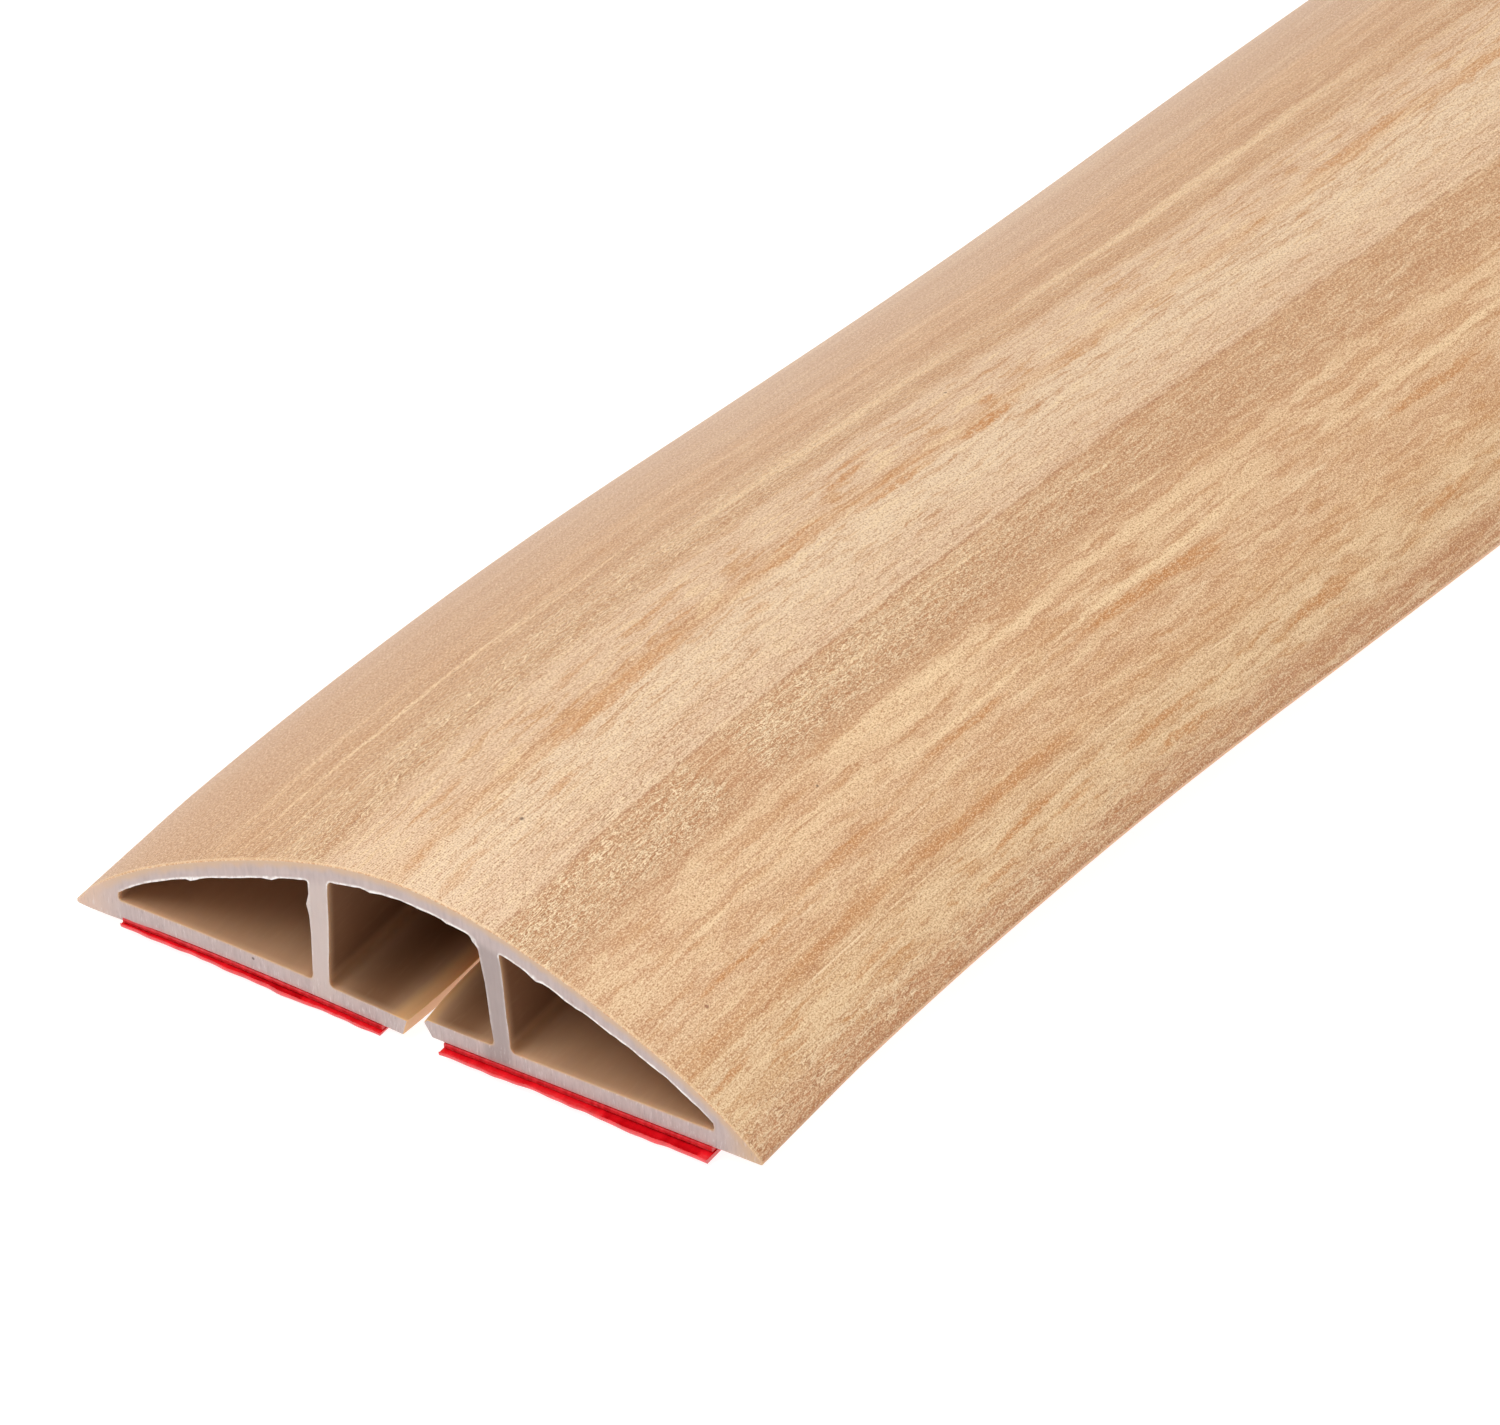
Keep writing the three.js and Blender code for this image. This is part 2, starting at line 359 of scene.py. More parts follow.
ring0 = []  # per loop: index grid [station, point]
rim2d = []  # per loop: the outline at the near and far cut
for li, loop in enumerate(loops):
    n = len(loop)
    nn = normals2(loop)
    if li == 0:
        # the printed film covers the dome between the two feather edges
        on = (loop[:, 1] >= outer_arch(np.clip(loop[:, 0], -HALF, HALF)) - 0.02) & (np.abs(loop[:, 0]) <= HALF - 0.03)
    else:
        on = np.zeros(n, bool)
    inner = (np.abs(loop[:, 0]) < 9) & (loop[:, 1] > BASE_T + 0.4) & ~on if li == 0 else np.ones(n, bool)
    shift, dd = np.zeros((len(Y), n)), np.repeat(DD[:, None], n, 1)
    for k in (0, len(Y) - 1):
        up, push = ragged(loop, 5 + li + k)
        shift[k] = np.where(inner, push if k == 0 else 0.3 * push, 0) - 0.05
        dd[k] = np.where(inner, -up, 0)
    shift[1] = np.where(inner, ragged(loop, 5 + li)[1] * 0.8, 0)
    shift[2] = shift[1] * 0.45
    pts = loop[None] + nn[None] * shift[..., None]
    rim2d.append((pts[0], pts[-1]))
    run = np.where(Y[:, None] < 0, dd, LENGTH - dd)
    grid = add_block(pts[..., 0], pts[..., 1], Y[:, None], dd, run, np.where(on, 0.0, 3.0)[None], 0.0)
    grid = grid.reshape(len(Y), n)
    ring0.append(grid)
    quads.append(shell(grid))
    q_mat.append(np.tile(np.where(on & np.roll(on, -1), FILM, PLAIN), len(Y) - 1))

# ------------------------------------------------------------------ the two cut faces
ring_d = {}  # the rims' distances to the film and to the channels


def cap(k, seed):
    """Fills the section at one end: a slightly uneven knife cut."""
    r = np.random.default_rng(seed)
    rings, idx, edges, start = [], [], [], 0
    for li, loop in enumerate(loops):
        rings.append(rim2d[li][0 if k == 0 else 1])
        idx.append(ring0[li][k])
        edges += [(start + i, start + (i + 1) % len(loop)) for i in range(len(loop))]
        start += len(loop)
    rim0, rim1, rim2 = rings
    rings, idx = np.concatenate(rings), np.concatenate(idx)
    gx, gz = np.meshgrid(np.arange(-HALF, HALF, 0.34), np.arange(0.0, HEIGHT, 0.34))
    gx = gx + (np.arange(len(gx))[:, None] % 2) * 0.17
    g = np.stack([gx.ravel(), gz.ravel()], 1) + r.uniform(-0.05, 0.05, (gx.size, 2))
    g = g[inside(g, rim0) & ~inside(g, rim1) & ~inside(g, rim2)]
    g = g[np.min([dist_to(g, l) for l in (rim0, rim1, rim2)], axis=0) > 0.17]
    pts = np.concatenate([rings, g])
    out_v, _, out_f, ov, _, _ = delaunay_2d_cdt([Vector(p) for p in pts], edges, [], 0, 1e-6)
    P = np.array([tuple(v) for v in out_v])
    fd = dist_to(P, dome, closed=False)
    ed = np.min([dist_to(P, loops[1]), dist_to(P, loops[2]), dist_to(P, centre_edge, closed=False)], axis=0)
    own = np.array([min((q for q in src if q < len(rings)), default=-1) for src in ov])
    new = np.where(own >= 0, idx[own], -1)
    for i in np.flatnonzero(own >= 0):
        ring_d[new[i]] = (fd[i], ed[i])
    free = own < 0
    d = 0.02 * np.sin(P[free, 0] * 1.7 + seed) + 0.012 * np.sin(P[free, 0] * 5.3 + P[free, 1] * 0.6)
    new[free] = add_block(P[free, 0], P[free, 1], Y[k], d, np.where(Y[k] < 0, d, LENGTH - d), fd[free], ed[free])
    f = np.array([tuple(q) for q in out_f])
    c = P[f].mean(1)
    a, b = P[f[:, 1]] - P[f[:, 0]], P[f[:, 2]] - P[f[:, 0]]
    flat = np.abs(a[:, 0] * b[:, 1] - a[:, 1] * b[:, 0]) < 2e-5
    f = f[inside(c, rim0) & ~inside(c, rim1) & ~inside(c, rim2) & ~flat]
    quads.append(new[f])
    q_mat.append(np.full(len(f), CUT))


# the part of the outer loop that bounds the middle channel, from lip to lip
m = loops[0]
first = int(np.argmin(np.hypot(m[:, 0] + 4.4, m[:, 1] - BASE_T)))
last = int(np.argmin(np.hypot(m[:, 0] - 4.4, m[:, 1] - BASE_T)))
centre_edge = m[first : last + 1] if first < last else np.concatenate([m[first:], m[: last + 1]])
cap(0, 3)
cap(len(Y) - 1, 11)
table = np.concatenate(blocks)
verts, att = table[:, :3], {k: table[:, 3 + i] for i, k in enumerate(KEYS)}
for i, (a, b) in ring_d.items():
    att["film_d"][i], att["edge_d"][i] = a, b
faces = [tuple(q) for block in quads for q in block.tolist()]
f_mat = np.concatenate(q_mat)


def make(name, vs, faces, mats, f_mat=None, attributes=None, sharp=None):
    me = bpy.data.meshes.new(name)
    me.from_pydata((np.asarray(vs) * MM).tolist(), [], faces)
    for mt in mats:
        me.materials.append(mt)
    if f_mat is not None:
        me.polygons.foreach_set("material_index", np.asarray(f_mat, np.int32))
    for key, val in (attributes or {}).items():
        a = me.attributes.new(key, "FLOAT", "POINT")
        a.data.foreach_set("value", np.asarray(val, np.float32))
    me.update()
    me.validate()
    ob = bpy.data.objects.new(name, me)
    bpy.context.scene.collection.objects.link(ob)
    bm = bmesh.new()
    bm.from_mesh(me)
    bmesh.ops.recalc_face_normals(bm, faces=bm.faces)
    if sharp is not None:
        for e in bm.edges:
            if len(e.link_faces) == 2 and e.calc_face_angle(0) > sharp:
                e.smooth = False
    for f in bm.faces:
        f.smooth = True
    bm.to_mesh(me)
    bm.free()
    return ob


# ------------------------------------------------------------------ node shorthand
def lin(rgb):
    """sRGB 0..255 to the linear colour a shader takes."""
    out = []
    for c in rgb:
        c = c / 255
        out.append(c / 12.92 if c <= 0.04045 else ((c + 0.055) / 1.055) ** 2.4)
    return (*out, 1.0)


class Nodes:
    def __init__(self, name):
        self.mat = bpy.data.materials.new(name)
        self.mat.use_nodes = True
        self.t = self.mat.node_tree
        self.t.nodes.clear()
        self.out = self.t.nodes.new("ShaderNodeOutputMaterial")
        self.b = self.t.nodes.new("ShaderNodeBsdfPrincipled")
        self.t.links.new(self.b.outputs[0], self.out.inputs["Surface"])

    def new(self, kind, **props):
        n = self.t.nodes.new(kind)
        for k, v in props.items():
            setattr(n, k, v)
        return n

    def put(self, sock, v):
        if isinstance(v, bpy.types.NodeSocket):
            self.t.links.new(v, sock)
        else:
            sock.default_value = v

    def m(self, op, a, b=None, c=None, clamp=False):
        n = self.new("ShaderNodeMath", operation=op, use_clamp=clamp)
        self.put(n.inputs[0], a)
        if b is not None:
            self.put(n.inputs[1], b)
        if c is not None:
            self.put(n.inputs[2], c)
        return n.outputs[0]

    def add(self, a, b):
        return self.m("ADD", a, b)

    def mul(self, a, b):
        return self.m("MULTIPLY", a, b)

    def step(self, x, e0, e1):
        """Smooth step from 0 at e0 to 1 at e1."""
        n = self.new("ShaderNodeMapRange", interpolation_type="SMOOTHSTEP", clamp=True)
        self.put(n.inputs["Value"], x)
        if e0 <= e1:
            n.inputs["From Min"].default_value, n.inputs["From Max"].default_value = e0, e1
            n.inputs["To Min"].default_value, n.inputs["To Max"].default_value = 0, 1
        else:
            n.inputs["From Min"].default_value, n.inputs["From Max"].default_value = e1, e0
            n.inputs["To Min"].default_value, n.inputs["To Max"].default_value = 1, 0
        return n.outputs["Result"]

    def band(self, x, a, b, soft):
        return self.mul(self.step(x, a - soft, a + soft), self.step(x, b + soft, b - soft))

    def attr(self, name):
        return self.new("ShaderNodeAttribute", attribute_name=name, attribute_type="GEOMETRY").outputs["Fac"]

    def vec(self, x, y, z=0.0):
        n = self.new("ShaderNodeCombineXYZ")
        for s, v in zip(n.inputs, (x, y, z)):
            self.put(s, v)
        return n.outputs[0]

    def noise(self, vec, scale=1.0, detail=2.0, rough=0.5, lac=2.0, dist=0.0, dim="3D"):
        n = self.new("ShaderNodeTexNoise", noise_dimensions=dim)
        self.put(n.inputs["Vector"], vec)
        n.inputs["Scale"].default_value = scale
        n.inputs["Detail"].default_value = detail
        n.inputs["Roughness"].default_value = rough
        n.inputs["Lacunarity"].default_value = lac
        n.inputs["Distortion"].default_value = dist
        return n.outputs["Fac"]

    def ramp(self, fac, stops, mode="LINEAR"):
        n = self.new("ShaderNodeValToRGB")
        r = n.color_ramp
        r.interpolation = mode
        while len(r.elements) < len(stops):
            r.elements.new(0.5)
        for e, (p, c) in zip(r.elements, stops):
            e.position = p
        for e, (p, c) in zip(r.elements, stops):
            e.position = p
            e.color = c if len(c) == 4 else lin(c)
        self.put(n.inputs[0], fac)
        return n.outputs["Color"]

    def mix(self, fac, a, b, blend="MIX"):
        n = self.new("ShaderNodeMix", data_type="RGBA", blend_type=blend)
        n.clamp_factor = True
        self.put(n.inputs["Factor"], fac)
        self.put(n.inputs[6], a)
        self.put(n.inputs[7], b)
        return n.outputs[2]

    def bump(self, height, strength, distance, normal=None):
        n = self.new("ShaderNodeBump")
        n.inputs["Strength"].default_value = strength
        n.inputs["Distance"].default_value = distance
        self.put(n.inputs["Height"], height)
        if normal is not None:
            self.put(n.inputs["Normal"], normal)
        return n.outputs["Normal"]


# ------------------------------------------------------------------ printed wood film
# Dashes of the print, listed one by one: arc, run at the start and end, half width, slant, strength
BROWN_DASHES = [
    (33.4, 20, 26, 0.22, 0.0, 0.6), (33.9, 28, 36, 0.22, 0.0, 0.6), (34.0, 38, 47, 0.22, 0.0, 0.8),
    (34.8, 6, 15, 0.3, 0.0, 0.6), (33.5, 70, 78, 0.25, 0.0, 0.8), (34.9, 67, 75, 0.35, -0.03, 0.9),
    (36.7, 40, 46, 0.2, 0.0, 0.7), (37.0, 89, 92.5, 0.4, 0.0, 0.9), (37.6, 55, 65, 0.16, 0.0, 0.8),
    (38.3, 1, 7, 0.3, 0.0, 0.6), (38.4, 20, 44, 0.5, 0.0, 0.75), (39.1, 17, 43, 0.45, 0.0, 0.65),
    (38.6, 51, 64, 0.4, 0.0, 0.5), (38.3, 68, 81, 0.22, 0.0, 0.6), (39.3, 65, 79, 0.3, 0.0, 0.8),
    (39.2, 81, 93, 0.45, 0.0, 1.0), (42.0, 0, 9, 0.3, 0.0, 0.5), (42.2, 14, 21, 0.3, 0.0, 0.5),
    (41.3, 45, 50, 0.4, 0.0, 0.4), (37.4, 144, 166, 0.5, 0.0, 0.7), (39.1, 168, 187, 0.4, 0.0, 0.7),
    (62.0, 42, 58, 0.3, 0.0, 0.9), (62.2, 66, 94, 0.5, 0.0, 1.0), (62.8, 83, 92, 0.3, 0.0, 0.8),
    (64.6, 5, 22, 0.22, 0.0, 0.9), (63.9, 20, 38, 0.4, -0.02, 0.7), (68.3, 14, 34, 0.4, 0.0, 0.6),
    (68.4, 30, 62, 0.45, 0.0, 0.8), (67.8, 0, 12, 0.3, 0.0, 0.5), (71.0, 0, 7, 0.25, 0.03, 0.8),
    (72.0, 8, 14, 0.2, -0.03, 0.7), (72.3, 19, 28, 0.25, -0.03, 0.7), (71.8, 40, 54, 0.28, -0.08, 1.0),
    (72.1, 60, 77, 0.28, -0.06, 0.9), (73.2, 49, 57, 0.2, 0.0, 0.8), (74.2, 64, 76, 0.35, 0.0, 0.9),
    (74.0, 36, 44, 0.25, 0.0, 0.7), (72.2, 89, 103, 0.4, -0.03, 0.8), (71.5, 112, 126, 0.35, -0.05, 0.8),
    (73.2, 132, 148, 0.4, 0.03, 0.8), (62.6, 118, 140, 0.4, 0.0, 0.8), (65.0, 150, 176, 0.4, 0.0, 0.7),
]
CREAM_DASHES = [
    (21.4, -2, 48, 0.22, 0.012, 0.9), (22.5, 32, 58, 0.2, 0.02, 0.7), (18.0, 0, 30, 0.3, 0.0, 0.5),
    (23.8, 0, 12, 0.12, 0.0, 0.9), (27.4, 50, 105, 0.5, 0.0, 0.8), (27.3, 100, 180, 0.5, 0.0, 0.7),
    (61.0, 38, 66, 0.2, 0.0, 0.9), (60.8, 0, 44, 0.22, 0.0, 0.5), (60.7, 62, 104, 0.3, -0.02, 1.0),
    (59.5, 12, 40, 0.2, 0.02, 0.7), (56.7, 30, 64, 0.5, 0.0, 0.8), (58.2, 40, 60, 0.5, 0.0, 0.6),
    (57.6, 56, 72, 0.45, 0.0, 0.7), (57.0, 70, 102, 0.4, 0.0, 0.7), (58.6, 84, 100, 0.25, 0.0, 0.6),
    (50.0, 56, 72, 0.14, 0.0, 0.8), (51.0, 34, 56, 0.16, 0.0, 0.9), (50.2, 84, 92, 0.14, 0.0, 0.9),
    (54.0, 84, 96, 0.18, 0.0, 0.6), (55.6, 76, 84, 0.15, 0.0, 0.5), (60.2, 108, 160, 0.35, 0.0, 0.8),
]


def wood_film():
    g = Nodes("printed_wood_film")
    U, V = g.attr("arc"), g.attr("run")
    sub = lambda a, b: g.m("SUBTRACT", a, b)
    off = lambda n: sub(n, 0.5)

    def n2d(a, b, seed, detail, rough=0.5):
        """Noise over two coordinates; the seed moves it to a place of its own."""
        return g.noise(g.vec(g.add(a, 37.7 * seed), b), detail=detail, rough=rough, dim="2D")

    # slow drift of the bands along the strip
    drift = g.mul(g.step(V, 50, 200), 1.6)
    left = g.step(U, 40, 34)
    far = g.step(V, 200, 330)
    slow = g.mul(off(n2d(g.mul(V, 0.006), g.mul(U, 0.02), 3.3, 1)), 9.0)
    right = g.add(g.mul(g.band(V, 85, 150, 22), -0.7), g.mul(g.step(V, 150, 215), 1.0))
    u = sub(U, g.mul(drift, left))
    u = sub(u, g.mul(right, g.step(U, 38, 44)))
    u = g.add(u, g.mul(slow, far))
    wav = g.mul(off(n2d(g.mul(U, 0.16), g.mul(V, 0.045), 1.0, 1)), 1.3)
    wav2 = g.mul(off(n2d(g.mul(U, 0.7), g.mul(V, 0.3), 5.0, 2)), 0.8)
    both = g.add(wav, wav2)
    crisp = g.band(U, 47.6, 49.6, 0.7)
    u1 = g.add(u, g.mul(both, sub(0.95, g.mul(crisp, 0.72))))
    K = 78.0
    # eight wood tones, shared by all the bands
    cream, pale, butter, wheat = (228, 200, 168), (220, 186, 154), (218, 180, 138), (212, 168, 128)
    honey, tan, oak, brown = (206, 156, 110), (200, 158, 124), (195, 145, 104), (190, 132, 92)
    bands = [
        (0.0, tan), (16.5, tan), (18.0, wheat), (20.2, oak), (21.3, wheat), (22.6, oak), (24.2, oak), (26.6, wheat),
        (28.2, oak), (30.0, oak), (31.4, pale), (36.6, pale), (38.2, wheat), (39.6, cream), (43.4, cream),
        (45.5, pale), (48.3, pale), (48.7, oak), (54.2, oak), (57.8, wheat), (65.8, wheat), (68.4, honey),
        (70.4, butter), (73.8, butter), (75.4, wheat), (76.2, brown), (78.0, brown),
    ]
    col = g.ramp(g.m("DIVIDE", u1, K), [(p / K, c) for p, c in bands])

    def weight(stops):
        """A 0..1 weight that changes across the strip."""
        out = g.ramp(g.m("DIVIDE", u, K), [(p / K, (v, v, v, 1.0)) for p, v in stops])
        n = g.new("ShaderNodeSeparateColor")
        g.put(n.inputs[0], out)
        return n.outputs[0]

    # streaks drawn out along the grain, from broad to hair-fine
    n1 = off(n2d(g.mul(u1, 0.55), g.mul(V, 0.011), 0.0, 2, 0.55))
    n2 = off(n2d(g.mul(u1, 1.8), g.mul(V, 0.08), 7.0, 3, 0.64))
    n3 = off(n2d(g.mul(u1, 4.6), g.mul(V, 0.32), 9.0, 2, 0.65))
    grain_w = weight([(0, 0.5), (12, 0.5), (17, 0.8), (30, 1.0), (48, 1.0), (55, 1.0), (77, 1.0)])
    tone = g.add(g.mul(n1, 0.45), g.add(g.mul(g.mul(n2, grain_w), 0.85), g.mul(g.mul(n3, grain_w), 0.95)))
    col = g.mix(g.m("MULTIPLY", g.m("MAXIMUM", g.mul(tone, -1.0), 0.0), 2.3), col, lin((184, 128, 84)))
    col = g.mix(g.m("MULTIPLY", g.m("MAXIMUM", tone, 0.0), 2.0), col, lin((236, 207, 168)))

    col = g.mix(g.mul(g.mul(g.step(V, 100, 20), g.step(U, 32, 22)), 0.5), col, lin(oak))
    col = g.mix(g.mul(g.mul(g.step(V, 14, 1), g.band(U, 31, 48, 2.5)), 0.35), col, lin((238, 206, 174)))

    # short dashes of the print
    dn = n2d(g.mul(u1, 1.15), g.mul(V, 0.14), 21.0, 3, 0.64)
    dash_w = weight(
        [(0, 0.05), (16, 0.1), (19, 0.3), (30, 0.35), (33, 0.8), (37, 0.9), (39.4, 0.9), (40.4, 0.5), (44, 0.5), (48, 0.3),
         (49, 0.25), (54.5, 0.25), (56, 0.5), (61, 0.6), (66, 0.6), (67.5, 0.9), (70, 0.5), (71, 1.0), (74, 1.0), (76, 0.5)]
    )
    col = g.mix(g.mul(g.mul(g.step(dn, 0.55, 0.68), dash_w), 0.75), col, lin((194, 136, 80)))
    col = g.mix(g.mul(g.mul(g.step(dn, 0.44, 0.32), dash_w), 0.65), col, lin((238, 206, 160)))

    fl = n2d(g.mul(u1, 0.66), g.mul(V, 0.085), 71.0, 3, 0.66)
    flame_w = weight([(0, 0), (54.6, 0.0), (56, 0.85), (60, 0.8), (62, 0.5), (67, 0.35), (70, 0.4), (71.5, 0.9), (74.5, 0.8), (76, 0.1)])
    col = g.mix(g.mul(g.mul(g.step(fl, 0.505, 0.565), flame_w), 0.7), col, lin((233, 199, 156)))
    col = g.mix(g.mul(g.mul(g.step(fl, 0.46, 0.36), flame_w), 0.5), col, lin((201, 148, 98)))

    # the listed dashes near the cut, on wavy coordinates
    us = g.add(U, g.mul(both, 0.75))
    sheared = {k: g.vec(g.m("MULTIPLY_ADD", V, -k, us), V) for k in (-0.06, -0.03, 0.02)}
    sheared[0.0] = g.vec(us, V)
    total = {}
    for key, dashes in (("brown", BROWN_DASHES), ("cream", CREAM_DASHES)):
        acc = None
        for u0, v0, v1, w, slant, power in dashes:
            slant = min(sheared, key=lambda k: abs(k - slant))
            vc, su, sv = 0.5 * (v0 + v1), 0.58 / w, 1.84 / (v1 - v0)
            n = g.new("ShaderNodeVectorMath", operation="MULTIPLY_ADD")
            g.put(n.inputs[0], sheared[slant])
            n.inputs[1].default_value = (su, sv, 0)
            n.inputs[2].default_value = (-(u0 - slant * vc) * su, -vc * sv, 0)
            k = g.new("ShaderNodeVectorMath", operation="LENGTH")
            g.put(k.inputs[0], n.outputs[0])
            mask = g.step(k.outputs["Value"], 1.05, 0.45)
            mask.node.inputs["To Min"].default_value = power
            acc = mask if acc is None else g.m("MAXIMUM", acc, mask)
        total[key] = acc
    ragged_edge = n2d(g.mul(U, 3.5), g.mul(V, 1.2), 14.0, 2, 0.6)
    rough_mask = g.add(0.25, g.mul(g.step(ragged_edge, 0.34, 0.52), 0.75))
    col = g.mix(g.mul(g.mul(total["brown"], rough_mask), 0.95), col, lin((196, 132, 74)))
    col = g.mix(g.mul(g.mul(total["cream"], rough_mask), 0.95), col, lin((240, 208, 164)))

    # embossed creases: painted shade on one side and a painted highlight on the other, along wavy lines that run with
    # the grain
    near_fade = g.add(0.45, g.mul(g.step(V, 110, 30), 0.55))
    c1 = n2d(g.mul(u1, 1.45), g.mul(V, 0.19), 31.0, 2, 0.65)
    w1 = weight(
        [(0, 0.1), (11, 0.2), (13, 0.35), (17, 0.5), (20, 0.6), (24, 0.75), (26, 0.9), (30, 0.9), (31.5, 0.3), (38, 0.25),
         (43.5, 0.25), (45, 0.75), (48.5, 0.85), (49.5, 0.8), (54.5, 0.6), (55.5, 0.1), (61, 0.15), (73, 0.2), (74.4, 0.8), (76.6, 0.9), (78, 0.2)]
    )
    w1 = g.mul(w1, near_fade)
    crease_painted_shade1 = g.mul(g.mul(g.step(c1, 0.46, 0.488), g.step(c1, 0.514, 0.496)), w1)
    crease_painted_highlight1 = g.mul(g.mul(g.step(c1, 0.494, 0.512), g.step(c1, 0.552, 0.528)), w1)
    # the same painted shade and highlight, finer and rounder, in the leathery bands
    c2 = n2d(g.mul(u1, 3.2), g.mul(V, 0.95), 41.0, 2, 0.65)
    w2 = weight(
        [(0, 0.0), (12, 0.1), (18, 0.2), (23.8, 0.25), (24.8, 0.7), (30.4, 0.8), (31.2, 0.1), (44, 0.1), (48.4, 0.25), (48.9, 0.8),
         (50, 1.0), (53.2, 1.0), (54.8, 0.35), (56, 0.0), (73.6, 0.05), (74.6, 0.3), (76.4, 0.4), (78, 0.1)]
    )
    gap = sub(1.0, g.mul(g.mul(g.band(V, 26.3, 31.5, 0.8), g.step(U, 47.5, 48.8)), 0.92))
    w2 = g.mul(g.mul(w2, near_fade), gap)
    crease_painted_shade2 = g.mul(g.mul(g.step(c2, 0.445, 0.48), g.step(c2, 0.506, 0.488)), w2)
    crease_painted_highlight2 = g.mul(g.mul(g.step(c2, 0.494, 0.512), g.step(c2, 0.552, 0.528)), w2)
    col = g.mix(g.mul(g.m("MAXIMUM", crease_painted_shade1, crease_painted_shade2), 0.8), col, lin((158, 104, 64)))
    col = g.mix(g.mul(g.m("MAXIMUM", g.mul(crease_painted_highlight1, g.add(0.3, g.mul(w2, 0.7))), crease_painted_highlight2), 0.95), col, lin((255, 232, 192)))

    edge_line = g.band(u1, 48.42, 48.66, 0.10)
    broken = g.step(n2d(g.mul(V, 0.35), 7.0, 0.0, 2), 0.42, 0.56)
    col = g.mix(g.mul(g.mul(edge_line, broken), 0.6), col, lin((166, 108, 70)))

    # the thin seam line of the print, drawn pale as a painted highlight, and its painted dark shadow
    seam_highlight_shadow_mask = g.mul(g.step(V, 90, 78), g.add(0.4, g.mul(g.step(n2d(g.mul(V, 0.12), 3.0, 0.0, 1), 0.4, 0.6), 0.6)))
    uw = g.add(U, g.mul(wav, 0.06))
    col = g.mix(g.mul(g.mul(g.band(uw, 69.9, 70.02, 0.05), seam_highlight_shadow_mask), 0.8), col, lin((243, 214, 175)))
    col = g.mix(g.mul(g.mul(g.band(uw, 69.72, 69.84, 0.05), seam_highlight_shadow_mask), 0.45), col, lin((176, 120, 78)))

    # crossed fine hatching of the print where it is palest, and its stipple all over
    h1 = g.m("SINE", g.mul(g.add(U, g.mul(V, 0.8)), 15.0))
    h2 = g.m("SINE", g.mul(sub(U, g.mul(V, 0.9)), 13.0))
    hatch = g.mul(g.mul(g.mul(h1, h2), g.step(V, 46, 16)), weight([(0, 0), (14, 0.5), (24, 0.8), (35, 0.9), (40, 1.0), (46, 0.7), (49, 0.3), (56, 0.1), (78, 0.1)]))
    stip = off(n2d(g.mul(U, 4.4), g.mul(V, 2.6), 51.0, 1, 0.7))
    stip2 = off(n2d(g.mul(U, 8.0), g.mul(V, 5.5), 61.0, 0, 0.6))
    fine = g.add(g.mul(hatch, 0.16), g.add(g.mul(stip, 0.75), g.mul(stip2, 0.9)))
    col = g.mix(g.mul(g.m("MAXIMUM", g.mul(fine, -1.0), 0.0), 1.8), col, lin((166, 112, 70)))
    col = g.mix(g.mul(g.m("MAXIMUM", fine, 0.0), 1.5), col, lin((250, 224, 184)))

    # four specks, and a painted highlight along the film's rim at the cut
    for u0, v0, r, c in ((42.5, 12.3, 0.16, (96, 72, 52)), (65.5, 7.2, 0.17, (140, 84, 52)), (32.8, 90.2, 0.14, (120, 90, 66)), (57.9, 33.4, 0.12, (112, 84, 60))):
        n = g.new("ShaderNodeVectorMath", operation="DISTANCE")
        g.put(n.inputs[0], g.vec(U, V))
        n.inputs[1].default_value = (u0, v0, 0)
        col = g.mix(g.mul(g.step(n.outputs["Value"], r * 1.5, r * 0.6), 0.8), col, lin(c))
    # painted highlight along the film's rim at the cut
    col = g.mix(g.mul(g.step(V, 0.30, 0.02), 0.5), col, lin((240, 206, 164)))

    g.put(g.b.inputs["Base Color"], col)
    g.put(g.b.inputs["Roughness"], g.add(0.46, g.mul(n3, 0.25)))
    g.b.inputs["Specular IOR Level"].default_value = 0.4
    # emboss
    e1 = n2d(g.mul(U, 2.4), g.mul(V, 0.9), 2.0, 2, 0.65)
    g.put(g.b.inputs["Normal"], g.bump(g.mul(e1, g.add(0.3, w2)), 0.6, 0.0003))
    return g.mat


